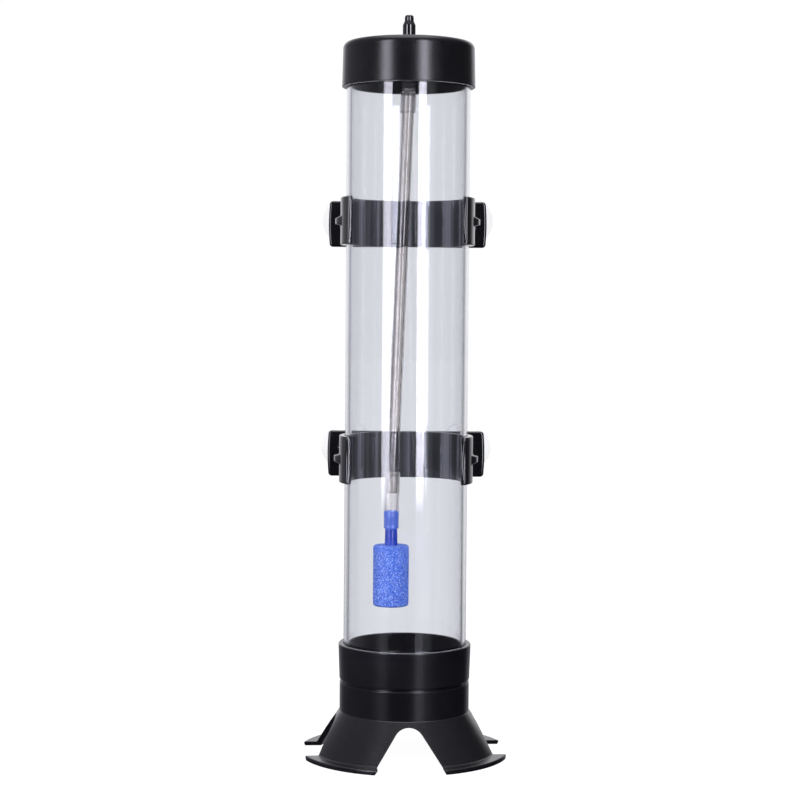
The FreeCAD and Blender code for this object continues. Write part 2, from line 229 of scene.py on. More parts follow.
def bevel(obj, width, segments, angle_deg):
    """Rounds an object's sharp edges."""
    modifier = obj.modifiers.new("bevel", "BEVEL")
    modifier.width = width
    modifier.segments = segments
    modifier.limit_method = "ANGLE"
    modifier.angle_limit = math.radians(angle_deg)
    modifier.use_clamp_overlap = True
    bake_modifiers(obj)
    shade(obj)


def smoothstep(low, high, value):
    """An eased step from 0 at low to 1 at high."""
    t = min(max((value - low) / (high - low), 0.0), 1.0)
    return t * t * (3 - 2 * t)


# ---------------------------------------------------------------- materials

def new_material(name, **values):
    """A material with one Principled shader. values are its sockets' names with _ for spaces."""
    material = bpy.data.materials.new(name)
    material.use_nodes = True
    shader = material.node_tree.nodes["Principled BSDF"]
    for key, value in values.items():
        shader.inputs[key.replace("_", " ")].default_value = value
    return material


def texture(material, kind, scale, **settings):
    """A procedural texture on object coordinates, which are metres."""
    tree = material.node_tree
    coordinates = tree.nodes.new("ShaderNodeTexCoord")
    node = tree.nodes.new(kind)
    node.inputs["Scale"].default_value = scale
    for key, value in settings.items():
        if key in node.inputs:
            node.inputs[key].default_value = value
        else:
            setattr(node, key, value)
    tree.links.new(coordinates.outputs["Object"], node.inputs["Vector"])
    return node


def colour_ramp(tree, value, stops):
    """A 0 to 1 value through a ramp of (position, grey or colour)."""
    ramp = tree.nodes.new("ShaderNodeValToRGB")
    elements = ramp.color_ramp.elements
    for index, (position, colour) in enumerate(stops):
        element = elements[index] if index < 2 else elements.new(position)
        element.position = position
        element.color = colour if hasattr(colour, "__len__") else (colour, colour, colour, 1)
    tree.links.new(value, ramp.inputs["Fac"])
    return ramp.outputs["Color"]


def cool_ramp(tree, value, stops):
    """A ramp of (position, grey) that is faintly blue, and less so where it is bright."""
    tinted = []
    for position, grey in stops:
        blue = 1.1 if grey < 0.9 else 1.02
        tinted.append((position, (grey, grey, grey * blue, 1)))
    return colour_ramp(tree, value, tinted)


def drive(material, value, socket, stops):
    """Feeds a value through a colour ramp into a shader socket."""
    tree = material.node_tree
    colour = colour_ramp(tree, value, stops)
    tree.links.new(colour, tree.nodes["Principled BSDF"].inputs[socket])
    return colour


def bump(material, height, distance, strength=1.0):
    """Feeds a height into the shader's normal, over what is there already."""
    tree = material.node_tree
    shader = tree.nodes["Principled BSDF"]
    node = tree.nodes.new("ShaderNodeBump")
    node.inputs["Distance"].default_value = distance
    node.inputs["Strength"].default_value = strength
    if shader.inputs["Normal"].is_linked:
        tree.links.new(shader.inputs["Normal"].links[0].from_socket, node.inputs["Normal"])
    tree.links.new(height, node.inputs["Height"])
    tree.links.new(node.outputs["Normal"], shader.inputs["Normal"])


def black_plastic(name, grey, rough_low, rough_high, grain_mm, grain_depth_mm, specular):
    """Moulded black plastic: a fine grain, clouded gloss and a faint cool tint."""
    material = new_material(name, Specular_IOR_Level=specular, IOR=1.5)
    clouds = texture(material, "ShaderNodeTexNoise", 90.0, Detail=4.0, Roughness=0.6)
    dark = (grey * 0.75, grey * 0.77, grey * 1.0, 1)
    light = (grey * 1.25, grey * 1.27, grey * 1.65, 1)
    drive(material, clouds.outputs["Fac"], "Base Color", [(0.35, dark), (0.7, light)])
    wear = texture(material, "ShaderNodeTexNoise", 420.0, Detail=3.0, Roughness=0.7)
    drive(material, wear.outputs["Fac"], "Roughness", [(0.3, rough_low), (0.75, rough_high)])
    grain = texture(material, "ShaderNodeTexNoise", 1.0 / (grain_mm * MM), Detail=2.0, Roughness=0.5)
    bump(material, grain.outputs["Fac"], grain_depth_mm * MM)
    return material


def clear_acrylic():
    """Clear tube: a faint lavender tint, drawn streaks along its length and a polished face."""
    material = new_material("clear_acrylic", Roughness=0.0, IOR=1.49, Transmission_Weight=1.0)
    tree = material.node_tree
    streaks = texture(material, "ShaderNodeTexNoise", 1.0, Detail=3.0)
    stretch = tree.nodes.new("ShaderNodeMapping")
    stretch.inputs["Scale"].default_value = (260.0, 260.0, 3.0)
    tree.links.new(streaks.inputs["Vector"].links[0].from_socket, stretch.inputs["Vector"])
    tree.links.new(stretch.outputs["Vector"], streaks.inputs["Vector"])
    drive(material, streaks.outputs["Fac"], "Base Color", [
        (0.3, (0.838, 0.847, 0.880, 1)),
        (0.5, (0.855, 0.865, 0.896, 1)),
        (0.72, (0.870, 0.876, 0.905, 1)),
    ])
    bump(material, streaks.outputs["Fac"], 0.006 * MM)
    return material


def smoke_riser():
    """Rigid smoke-tinted tube, with a warm grey tint that is a little uneven."""
    material = new_material("smoke_riser", Roughness=0.0, IOR=1.5, Transmission_Weight=1.0)
    tint = texture(material, "ShaderNodeTexNoise", 60.0, Detail=2.0)
    drive(material, tint.outputs["Fac"], "Base Color", [
        (0.3, (0.74, 0.71, 0.69, 1)),
        (0.7, (0.80, 0.775, 0.755, 1)),
    ])
    return material


def clear_silicone():
    """Soft clear hose: slightly milky, with a satin face and fine dust."""
    material = new_material("clear_hose", Roughness=0.06, IOR=1.42, Transmission_Weight=0.96)
    haze = texture(material, "ShaderNodeTexNoise", 900.0, Detail=3.0)
    drive(material, haze.outputs["Fac"], "Base Color", [
        (0.3, (0.8463, 0.837, 0.8277, 1)),
        (0.7, (0.91, 0.90, 0.89, 1)),
    ])
    bump(material, haze.outputs["Fac"], 0.01 * MM, 0.5)
    return material


def cup_vinyl():
    """Clear soft vinyl of the suction cups."""
    material = new_material("cup_vinyl", IOR=1.5, Transmission_Weight=1.0,
                            Base_Color=(0.955, 0.96, 0.975, 1))
    haze = texture(material, "ShaderNodeTexNoise", 500.0, Detail=2.0)
    drive(material, haze.outputs["Fac"], "Roughness", [(0.3, 0.07), (0.75, 0.2)])
    return material


def blend_colours(material, factor, first, second, socket="Base Color"):
    """Mixes two values or sockets by a factor into a shader socket."""
    tree = material.node_tree
    mixed = tree.nodes.new("ShaderNodeMixRGB")
    tree.links.new(factor, mixed.inputs[0])
    for index, value in ((1, first), (2, second)):
        if isinstance(value, bpy.types.NodeSocket):
            tree.links.new(value, mixed.inputs[index])
        else:
            mixed.inputs[index].default_value = value
    tree.links.new(mixed.outputs[0], tree.nodes["Principled BSDF"].inputs[socket])


def span(tree, value, low, high, start=0.0, end=1.0):
    """Goes from start to end as a value goes from low to high, and stays there."""
    node = tree.nodes.new("ShaderNodeMapRange")
    node.inputs["From Min"].default_value = low
    node.inputs["From Max"].default_value = high
    node.inputs["To Min"].default_value = start
    node.inputs["To Max"].default_value = end
    tree.links.new(value, node.inputs["Value"])
    return node.outputs[0]


def object_axes(tree):
    """The X, Y and Z of the object coordinates."""
    coordinates = tree.nodes.new("ShaderNodeTexCoord")
    split = tree.nodes.new("ShaderNodeSeparateXYZ")
    tree.links.new(coordinates.outputs["Object"], split.inputs[0])
    return split.outputs


def blue_plastic():
    """Blue plastic of the nozzle: deep on the shaft, and painted lighter under the hose as painted light
    from the milky hose over it.
    """
    material = new_material("blue_plastic", IOR=1.5, Specular_IOR_Level=0.9)
    tree = material.node_tree
    clouds = texture(material, "ShaderNodeTexNoise", 400.0, Detail=3.0)
    shaft = drive(material, clouds.outputs["Fac"], "Base Color", [
        (0.3, (0.008, 0.03, 0.30, 1)),
        (0.7, (0.02, 0.06, 0.44, 1)),
    ])
    height = object_axes(tree)["Z"]
    gripped = span(tree, height, lower_hose_low.z - 0.4 * MM, lower_hose_low.z + 0.2 * MM)
    # Painted light: under the hose the blue is painted lighter, standing in for the light the milky hose
    # adds.
    blend_colours(material, gripped, shaft, (0.02, 0.125, 0.72, 1))
    drive(material, clouds.outputs["Color"], "Roughness", [(0.3, 0.08), (0.7, 0.14)])
    return material


def clip_plastic():
    """Glossy outside; satin on the face that grips the tube, with upright pale streaks painted there as
    reflections of the strip lights.
    """
    material = black_plastic("clip_plastic", 0.0028, 0.04, 0.07, 0.5, 0.003, specular=0.72)
    tree = material.node_tree
    axes = object_axes(tree)
    flat = tree.nodes.new("ShaderNodeCombineXYZ")
    tree.links.new(axes["X"], flat.inputs["X"])
    tree.links.new(axes["Y"], flat.inputs["Y"])
    distance = tree.nodes.new("ShaderNodeVectorMath")
    distance.operation = "LENGTH"
    tree.links.new(flat.outputs[0], distance.inputs[0])
    outside = span(tree, distance.outputs["Value"], TUBE_RADIUS + 0.25 * MM, TUBE_RADIUS + 0.45 * MM)
    shader = tree.nodes["Principled BSDF"]
    gloss = shader.inputs["Roughness"].links[0].from_socket
    colour = shader.inputs["Base Color"].links[0].from_socket
    streak_noise = texture(material, "ShaderNodeTexNoise", 300.0, Detail=2.0)
    tree.links.new(flat.outputs[0], streak_noise.inputs["Vector"])
    # Painted reflection: pale upright streaks on the inner face stand in for the strip lights reflected
    # there.
    painted_reflection_streaks = cool_ramp(tree, streak_noise.outputs["Fac"], [(0.4, 0.004), (0.52, 0.03), (0.64, 0.2)])
    blend_colours(material, outside, (0.42, 0.42, 0.42, 1), gloss, "Roughness")
    blend_colours(material, outside, painted_reflection_streaks, colour)
    return material


def blue_stone():
    """Sintered grains: every grain has its own blue, and a few grains are painted pale as painted glints.
    """
    material = new_material("blue_stone", IOR=1.5)
    grains = texture(material, "ShaderNodeTexVoronoi", 3600.0)
    tree = material.node_tree
    grey = tree.nodes.new("ShaderNodeSeparateColor")
    tree.links.new(grains.outputs["Color"], grey.inputs["Color"])
    drive(material, grey.outputs["Red"], "Base Color", [
        (0.0, (0.027, 0.073, 0.50, 1)),
        (0.45, (0.075, 0.175, 0.77, 1)),
        (0.85, (0.18, 0.36, 0.98, 1)),
        # Painted highlight: the palest stop paints a few grains as glints.
        (0.97, (0.55, 0.70, 1.0, 1)),
    ])
    drive(material, grey.outputs["Green"], "Roughness", [(0.0, 0.45), (0.6, 0.85)])
    bump(material, grains.outputs["Distance"], 0.25 * MM, 0.8)
    return material


def seal_rubber():
    """Matt dark rubber of the gasket and the inlet's seal."""
    material = new_material("seal_rubber", Roughness=0.8, IOR=1.5)
    grain = texture(material, "ShaderNodeTexNoise", 1500.0, Detail=3.0)
    drive(material, grain.outputs["Fac"], "Base Color", [(0.3, 0.03), (0.7, 0.06)])
    bump(material, grain.outputs["Fac"], 0.02 * MM)
    return material


CAP_PLASTIC = black_plastic("cap_plastic", 0.003, 0.205, 0.235, 0.28, 0.02, specular=0.41)
COLLAR_PLASTIC = black_plastic("collar_plastic", 0.0042, 0.20, 0.25, 0.22, 0.01, specular=0.45)
STAND_PLASTIC = black_plastic("stand_plastic", 0.0034, 0.17, 0.23, 0.25, 0.02, specular=0.5)
CLIP_PLASTIC = clip_plastic()
NIPPLE_PLASTIC = black_plastic("nipple_plastic", 0.003, 0.05, 0.09, 0.8, 0.004, specular=0.8)
CLEAR_ACRYLIC = clear_acrylic()
SMOKE_RISER = smoke_riser()
CLEAR_SILICONE = clear_silicone()
CUP_VINYL = cup_vinyl()
BLUE_PLASTIC = blue_plastic()
BLUE_STONE = blue_stone()
SEAL_RUBBER = seal_rubber()


def finish_piece(obj, material, body, node):
    """Gives a piece its material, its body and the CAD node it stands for."""
    obj.data.materials.clear()
    obj.data.materials.append(material)
    if body is not None:
        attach(obj, body)
    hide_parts(node)
    return obj


# ---------------------------------------------------------------- cap and inlet

def make_cap():
    """Cap: a slightly tapered skirt, a round shoulder and a flat roof on the gasket."""
    bore = TUBE_RADIUS + SLIDE_GAP
    roof = tube_high.z + GASKET_THICKNESS
    rim = cap_low.z
    outline = softened([
        (bore, rim, 0.35 * MM),
        (cap_high.x, rim, 0.35 * MM),
        (26.5 * MM, cap_high.z, 2.8 * MM),
        (INLET_SEAT_RADIUS, cap_high.z, 0.1 * MM),
        (INLET_SEAT_RADIUS, roof, 0),
        (bore, roof, 0.5 * MM),
    ], steps=10)
    cap = lathe("cap", outline, segments=256)
    return finish_piece(cap, CAP_PLASTIC, "cap", "top_cap")


def make_nipple():
    """Hose nipple: a flared barb above the cap, a flange under the roof and a spigot below."""
    flange_top = tube_high.z + GASKET_THICKNESS - INLET_SEAL_THICKNESS
    flange_base = flange_top - 1.2 * MM
    top = nipple_high.z
    bore = 1.1 * MM
    outline = softened([
        (bore, nipple_low.z, 0),
        (SPIGOT_RADIUS, nipple_low.z, 0.3 * MM),
        (SPIGOT_RADIUS, flange_base, 0.3 * MM),
        (INLET_FLANGE_RADIUS, flange_base, 0.2 * MM),
        (INLET_FLANGE_RADIUS, flange_top, 0.2 * MM),
        (INLET_SEAT_RADIUS, flange_top, 0),
        (INLET_SEAT_RADIUS, cap_high.z, 0.1 * MM),
        (INLET_SHAFT_RADIUS, cap_high.z, 0),
        (INLET_SHAFT_RADIUS, top - 3.9 * MM, 0.8 * MM),
        (1.85 * MM, top - 2.3 * MM, 0.9 * MM),
        (1.8 * MM, top, 0.8 * MM),
        (bore, top, 0.25 * MM),
    ], steps=6)
    nipple = lathe("nipple", outline, segments=96)
    return finish_piece(nipple, NIPPLE_PLASTIC, "cap", "inlet_nipple")


make_cap()
make_nipple()
for hidden_node in ("cap_gasket", "inlet_seal"):
    for material_slot in frame["nodes"][hidden_node].material_slots:
        material_slot.material = SEAL_RUBBER


# ---------------------------------------------------------------- tube and collar

def make_tube():
    """The clear gas bell."""
    bore = TUBE_RADIUS - TUBE_WALL
    edge = 0.25 * MM
    outline = softened([
        (bore, tube_low.z, edge),
        (TUBE_RADIUS, tube_low.z, edge),
        (TUBE_RADIUS, tube_high.z, edge),
        (bore, tube_high.z, edge),
    ], steps=3)
    tube = lathe("tube", outline, segments=256)
    tube.visible_shadow = False
    return finish_piece(tube, CLEAR_ACRYLIC, "tube", "diffuser_tube")


def make_collar():
    """Collar glued round the tube's foot, a hair wider at its top."""
    bore = TUBE_RADIUS + 0.02 * MM
    outline = softened([
        (bore, collar_low.z, 0.3 * MM),
        (26.55 * MM, collar_low.z, 0.35 * MM),
        (collar_high.x, collar_high.z, 0.45 * MM),
        (bore, collar_high.z, 0.35 * MM),
    ], steps=5)
    collar = lathe("collar", outline, segments=256)
    return finish_piece(collar, COLLAR_PLASTIC, "tube", "base_collar")


make_tube()
make_collar()


# ---------------------------------------------------------------- stand

def arch_outline():
    """One arch in (x, z): sloping sides up to a round crown."""
    side = math.radians(33.9)
    foot = 14.15 * MM
    crown_z = 16.0 * MM
    apex = foot / math.tan(side)
    radius = (apex - crown_z) * math.sin(side) / (1 - math.sin(side))
    centre_z = crown_z - radius
    below = 6.0 * MM
    outline = [(foot + below * math.tan(side), -below)]
    steps = 20
    for step in range(steps + 1):
        angle = side + (math.pi - 2 * side) * step / steps
        outline.append((radius * math.cos(angle), centre_z + radius * math.sin(angle)))
    outline.append((-outline[0][0], -below))
    return outline


def make_stand():
    """Spigot, ring and flared skirt, cut by two arch prisms into four feet."""
    flare_angle = math.radians(34.2)
    flare = math.tan(flare_angle)
    ring_base = 17.9 * MM
    ring_top = collar_low.z - 1.1 * MM
    toe = 1.9 * MM
    toe_radius = 42.7 * MM
    skirt_top = 26.65 * MM
    wall_across = 2.0 * MM / math.cos(flare_angle)
    inner_floor = skirt_top + ring_base * flare - wall_across
    bore = 23.0 * MM
    spigot = TUBE_RADIUS - SLIDE_GAP
    reach = 50 * MM
    yaw = math.radians(4.0)
    outline = softened([
        (inner_floor, 0, 0),
        (toe_radius, 0, 0.4 * MM),
        (toe_radius, toe, 0.5 * MM),
        (skirt_top + (ring_base - toe) * flare, toe, 0.7 * MM),
        (skirt_top, ring_base, 0.25 * MM),
        (26.45 * MM, ring_base + 0.2 * MM, 0),
        (26.45 * MM, ring_top, 0.3 * MM),
        (spigot, ring_top, 0),
        (spigot, stand_high.z, 0.4 * MM),
        (bore, stand_high.z, 0.3 * MM),
        (bore, (inner_floor - bore) / flare, 2.0 * MM),
    ], steps=5)
    stand = lathe("stand_body", outline, segments=288)
    for turn in (0, math.pi / 2):
        arch = prism("arch", arch_outline(), -reach, reach)
        arch.data.transform(Matrix.Rotation(turn, 4, "Z"))
        combine(stand, arch, "DIFFERENCE")
    bevel(stand, 0.3 * MM, segments=2, angle_deg=50.0)
    stand.data.transform(Matrix.Rotation(yaw, 4, "Z"))
    weight_normals(stand)
    return finish_piece(stand, STAND_PLASTIC, "stand", "stand")


make_stand()


# ---------------------------------------------------------------- riser, hoses and stone

def leaned():
    """Swings what stands upright about the riser's pivot to the riser's lean."""
    there = Matrix.Translation(riser_pivot)
    back = Matrix.Translation(-riser_pivot)
    return there @ Matrix.Rotation(riser_lean, 4, "Y") @ back


def make_riser():
    """Rigid tube that leans inside the bell."""
    outline = softened([
        (RISER_BORE, RISER_BASE_Z, 0.15 * MM),
        (RISER_RADIUS, RISER_BASE_Z, 0.25 * MM),
        (RISER_RADIUS, RISER_TOP_Z, 0.25 * MM),
        (RISER_BORE, RISER_TOP_Z, 0.15 * MM),
    ], steps=3)
    riser = lathe("riser", outline, segments=96, place=leaned())
    return finish_piece(riser, SMOKE_RISER, "riser", "riser_tube")


def hose(name, sections, pivot, lean_above):
    """A hollow hose. sections are (height, outer radius, inner radius) from the top down.

    The line is upright on one side of the pivot and leans on the other, with a smooth turn.
    """
    bm = bmesh.new()
    segments = 64
    slope = math.tan(riser_lean)
    turn = 2.5 * MM
    outer_rings, inner_rings = [], []
    for z, outer, inner in sections:
        drop = pivot.z - z
        along = -drop if lean_above else drop
        eased = along + math.sqrt(along * along + turn * turn)
        offset = slope * eased / 2
        centre_x = pivot.x + (offset if lean_above else -offset)
        for radius, rings in ((outer, outer_rings), (inner, inner_rings)):
            ring = []
            for s in range(segments):
                angle = 2 * math.pi * s / segments
                ring.append(bm.verts.new((
                    centre_x + radius * math.cos(angle),
                    pivot.y + radius * math.sin(angle),
                    z,
                )))
            rings.append(ring)
    last = len(sections) - 1
    for s in range(segments):
        t = (s + 1) % segments
        for i in range(last):
            for rings in (outer_rings, inner_rings):
                bm.faces.new((rings[i][s], rings[i][t], rings[i + 1][t], rings[i + 1][s]))
        for i in (0, last):
            bm.faces.new((outer_rings[i][s], outer_rings[i][t], inner_rings[i][t], inner_rings[i][s]))
    return new_object(name, bm)


def hose_sections(levels):
    """Fills in rings between (height, outer, inner) levels, eased from one to the next."""
    sections = []
    spacing = 0.4 * MM
    for (z0, outer0, inner0), (z1, outer1, inner1) in zip(levels, levels[1:]):
        steps = max(1, round(abs(z1 - z0) / spacing))
        for step in range(steps):
            share = step / steps
            eased = smoothstep(0, 1, share)
            sections.append((z0 + (z1 - z0) * share, outer0 + (outer1 - outer0) * eased,
                             inner0 + (inner1 - inner0) * eased))
    sections.append(levels[-1])
    return sections


def make_upper_hose():
    """From the cap's spigot, over its end, then stretched over the riser."""
    top = upper_hose_high.z
    base = riser_pivot.z - 8.2 * MM
    gripped = SPIGOT_RADIUS - 0.06 * MM
    levels = [
        (top, UPPER_HOSE_RADIUS - 0.2 * MM, SPIGOT_RADIUS + 0.12 * MM),
        (top - 0.3 * MM, UPPER_HOSE_RADIUS, gripped),
        (nipple_low.z + 0.4 * MM, UPPER_HOSE_RADIUS, gripped),
        (nipple_low.z - 0.8 * MM, UPPER_HOSE_RADIUS - 0.05 * MM, SPIGOT_RADIUS - 0.02 * MM),
        (RISER_TOP_Z + 0.7 * MM, UPPER_HOSE_RADIUS, SPIGOT_RADIUS),
        (RISER_TOP_Z - 0.3 * MM, HOSE_OVER_RISER, RISER_RADIUS + 0.06 * MM),
        (base + 0.35 * MM, HOSE_OVER_RISER, RISER_RADIUS + 0.03 * MM),
        (base, HOSE_OVER_RISER - 0.2 * MM, RISER_RADIUS + 0.1 * MM),
    ]
    obj = hose("upper_hose_skin", hose_sections(levels), riser_pivot, False)
    obj.visible_shadow = False
    finish_piece(obj, CLEAR_SILICONE, None, "upper_hose")
    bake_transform(obj)
    return obj


def make_lower_hose():
    """From the riser's foot down over the stone's nozzle."""
    top = riser_pivot.z - 153.7 * MM
    nozzle_top = nozzle_high.z
    base = lower_hose_low.z
    swell = LOWER_HOSE_RADIUS + 0.05 * MM
    gripped = NOZZLE_TIP_RADIUS - 0.15 * MM
    levels = [
        (top, HOSE_OVER_RISER - 0.2 * MM, RISER_RADIUS + 0.1 * MM),
        (top - 0.35 * MM, HOSE_OVER_RISER, RISER_RADIUS + 0.03 * MM),
        (RISER_BASE_Z + 0.3 * MM, HOSE_OVER_RISER, RISER_RADIUS + 0.05 * MM),
        (RISER_BASE_Z - 1.0 * MM, LOWER_HOSE_RADIUS, NOZZLE_TIP_RADIUS + 0.2 * MM),
        (nozzle_top + 0.6 * MM, LOWER_HOSE_RADIUS, NOZZLE_TIP_RADIUS),
        (nozzle_top - 0.6 * MM, swell, gripped),
        (base + 1.5 * MM, LOWER_HOSE_RADIUS, gripped),
        (base + 0.3 * MM, swell, gripped),
        (base, LOWER_HOSE_RADIUS - 0.1 * MM, NOZZLE_TIP_RADIUS + 0.2 * MM),
    ]
    obj = hose("lower_hose_skin", hose_sections(levels), stone_pivot, True)
    obj.visible_shadow = False
    finish_piece(obj, CLEAR_SILICONE, None, "lower_hose")
    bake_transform(obj)
    return obj


def make_nozzle():
    """Barbed nozzle with its stem in the stone."""
    at_stone = Matrix.Translation((stone_pivot.x, 0, 0))
    shoulder = lower_hose_low.z - 0.2 * MM
    top = nozzle_high.z
    bore = 0.9 * MM
    shaft_base = stone_high.z - 0.2 * MM
    barb_base = top - 2.4 * MM
    outline = softened([
        (bore, nozzle_low.z, 0),
        (NOZZLE_STEM_RADIUS, nozzle_low.z, 0),
        (NOZZLE_STEM_RADIUS, shaft_base, 0),
        (2.65 * MM, shaft_base, 0.1 * MM),
        (2.5 * MM, shoulder, 0.3 * MM),
        (NOZZLE_TIP_RADIUS, shoulder, 0),
        (NOZZLE_TIP_RADIUS, barb_base, 0),
        (2.4 * MM, barb_base, 0.15 * MM),
        (NOZZLE_TIP_RADIUS, top, 0.4 * MM),
        (bore, top, 0.2 * MM),
    ], steps=4)
    nozzle = lathe("nozzle", outline, segments=96, place=at_stone)
    return finish_piece(nozzle, BLUE_PLASTIC, "stone", "airstone_nozzle")


def make_stone():
    """Grains stand out of the stone's skin, and its edges are worn round."""
    radius = (stone_high.x - stone_low.x) / 2 - 0.12 * MM
    base = stone_low.z + 0.1 * MM
    top = stone_high.z - 0.1 * MM
    edge = 1.0 * MM
    pocket = NOZZLE_STEM_RADIUS
    ring_step = 0.22 * MM
    flat_edge = 0.2 * MM
    corner = softened([(0, base, 0), (radius, base, edge), (radius, top, edge), (pocket, top, 0)], 6)
    outline = []
    for start, end in zip(corner, corner[1:]):
        steps = max(1, math.ceil((end - start).length / ring_step))
        outline.extend(start.lerp(end, step / steps) for step in range(steps))
    outline.append(corner[-1])
    outline.append(Vector((pocket, nozzle_low.z)))
    outline.append(Vector((0, nozzle_low.z)))
    stone = lathe("stone_body", outline, segments=208)
    grain_size, grain_height = 0.42 * MM, 0.07 * MM
    lump_size, lump_height = 1.7 * MM, 0.05 * MM
    for vertex in stone.data.vertices:
        place = vertex.co
        in_pocket = math.hypot(place.x, place.y) < pocket + 0.3 * MM and place.z > nozzle_low.z - 0.1 * MM
        if in_pocket:
            continue
        out = Vector((place.x, place.y, 0))
        if place.z < base + flat_edge:
            out = Vector((0, 0, -1))
        elif place.z > top - flat_edge:
            out = Vector((0, 0, 1))
        height = grain_height * noise.noise(place * (1.0 / grain_size))
        height += lump_height * noise.noise(place * (1.0 / lump_size))
        vertex.co = place + out.normalized() * height
    stone.data.transform(Matrix.Translation((stone_pivot.x, 0, 0)))
    shade(stone, 60.0)
    return finish_piece(stone, BLUE_STONE, "stone", "airstone_body")


make_riser()
make_upper_hose()
make_lower_hose()
make_nozzle()
make_stone()


# ---------------------------------------------------------------- clips

BAND_BORE = TUBE_RADIUS + SLIDE_GAP
BAND_OUTER = BAND_BORE + 2.2 * MM
BAND_WRAP = math.radians(119.0)
CLIP_HALF = 9.6 * MM
PLATE_FRONT = 27.1 * MM
PLATE_BACK = 29.9 * MM
PLATE_HALF_WIDTH = 33.1 * MM
CUP_HOLE = 1.4 * MM


def rib_height(angle):
    """How far the rib stands out of the band at an angle from +Y: a disc seen in plan."""
    radius = 14.0 * MM
    centre = Vector((15.4 * MM, 2.0 * MM))
    ray = Vector((abs(math.sin(angle)), math.cos(angle)))
    along = ray.dot(centre)
    across = centre.length_squared - along * along
    if across > radius * radius:
        return 0.0
    return max(0.0, along + math.sqrt(radius * radius - across) - BAND_OUTER)


def band_levels():
    """Heights across the band, from its mid-height, with how far the edges are rounded in."""
    edge = 0.55 * MM
    levels = []
    for step in range(4):
        turn = math.radians(90 * step / 4)
        levels.append((CLIP_HALF - edge + edge * math.cos(turn), edge * (1 - math.sin(turn))))
    z = CLIP_HALF - edge
    flank = 2.7 * MM
    while z > flank:
        levels.append((z, 0.0))
        z -= 1.1 * MM
    fine = 12
    levels.extend((flank * (fine - step) / fine, 0.0) for step in range(fine))
    mirrored = [(-z, inset) for z, inset in levels]
    return mirrored + [(0.0, 0.0)] + levels[::-1]


def make_band():
    """The C of a clip: rounded edges, a rib at mid-height and tips rounded most at mid-height."""
    bm = bmesh.new()
    levels = band_levels()
    inner_round, least_round, most_round = 0.4 * MM, 0.4 * MM, 1.4 * MM
    last_angle = BAND_WRAP - most_round / BAND_OUTER
    arcs = 150
    stations = [(-last_angle + 2 * last_angle * i / arcs, 0.0) for i in range(arcs + 1)]
    turns = [math.radians(90 * step / 10) for step in range(1, 11)]
    ends = [(last_angle, turn) for turn in turns]
    starts = [(-last_angle, turn) for turn in reversed(turns)]

    def rounded(angle, turn, radius):
        """The angle at a turn of a rounded edge, and how far the surface is pulled in there."""
        reach = 0.0 if turn == 0 else most_round - radius + radius * math.sin(turn)
        return angle + math.copysign(reach / BAND_OUTER, angle), radius * (1 - math.cos(turn))

    inner_columns, outer_columns = [], []
    for angle, turn in starts + stations + ends:
        inner_angle, inner_pull = rounded(angle, turn, inner_round)
        inner, outer = [], []
        for z, inset in levels:
            edge = least_round + (most_round - least_round) * (1 - (z / CLIP_HALF) ** 2)
            outer_angle, outer_pull = rounded(angle, turn, edge)
            flank = 1 - smoothstep(1.1 * MM, 2.2 * MM, abs(z))
            parting = 0.05 * MM if z == 0.0 else 0.0
            outer_radius = BAND_OUTER + rib_height(outer_angle) * flank - inset - outer_pull
            inner_radius = BAND_BORE + inset * 0.4 + inner_pull + parting
            height = z * (1 - 0.5 * MM * (1 - math.cos(turn)) / CLIP_HALF)
            faces = ((outer_angle, outer_radius, outer), (inner_angle, inner_radius, inner))
            for at, radius, column in faces:
                column.append(bm.verts.new((math.sin(at) * radius, math.cos(at) * radius, height)))
        inner_columns.append(inner)
        outer_columns.append(outer)
    top = len(levels) - 1
    for i in range(len(inner_columns) - 1):
        for j in range(top):
            for columns in (inner_columns, outer_columns):
                bm.faces.new((columns[i][j], columns[i + 1][j], columns[i + 1][j + 1], columns[i][j + 1]))
        for j in (0, top):
            bm.faces.new((inner_columns[i][j], inner_columns[i + 1][j],
                          outer_columns[i + 1][j], outer_columns[i][j]))
    for i in (0, len(inner_columns) - 1):
        for j in range(top):
            bm.faces.new((inner_columns[i][j], inner_columns[i][j + 1],
                          outer_columns[i][j + 1], outer_columns[i][j]))
    return new_object("band", bm)


def plate_outline():
    """Rounded rectangle whose short ends bow out a little."""
    corner = 1.5 * MM
    bow = 0.35 * MM
    steps = 6
    quarter = []
    for step in range(steps + 1):
        angle = math.radians(90 * step / steps)
        quarter.append((
            PLATE_HALF_WIDTH - bow - corner + corner * math.cos(angle),
            CLIP_HALF - corner + corner * math.sin(angle),
        ))
    side = [(PLATE_HALF_WIDTH - bow * (z / 8.0) ** 2, z * MM) for z in (0.0, 2.5, 5.0)]
    right_top = side + quarter
    left_top = [(-x, z) for x, z in reversed(right_top)]
    lower_left = [(x, -z) for x, z in reversed(left_top[:-1])]
    lower_right = [(x, -z) for x, z in reversed(right_top[1:])]
    return right_top + left_top + lower_left + lower_right


def turned_to_back(x, z):
    """Turns what stands on the Z axis to point along +Y from (x, 0, z)."""
    return Matrix.Translation((x, 0, z)) @ Matrix.Rotation(-math.pi / 2, 4, "X")


def make_plate(cup_x, cup_z):
    """Back plate with two holes for the suction cups."""
    plate = prism("plate", plate_outline(), PLATE_FRONT, PLATE_BACK)
    bevel(plate, 0.95 * MM, segments=6, angle_deg=60.0)
    near, far = 20 * MM, 36 * MM
    for side in (-1, 1):
        hole = lathe("hole", [(0, near), (CUP_HOLE, near), (CUP_HOLE, far), (0, far)],
                     segments=64, place=turned_to_back(side * cup_x, cup_z))
        combine(plate, hole, "DIFFERENCE")
    return plate


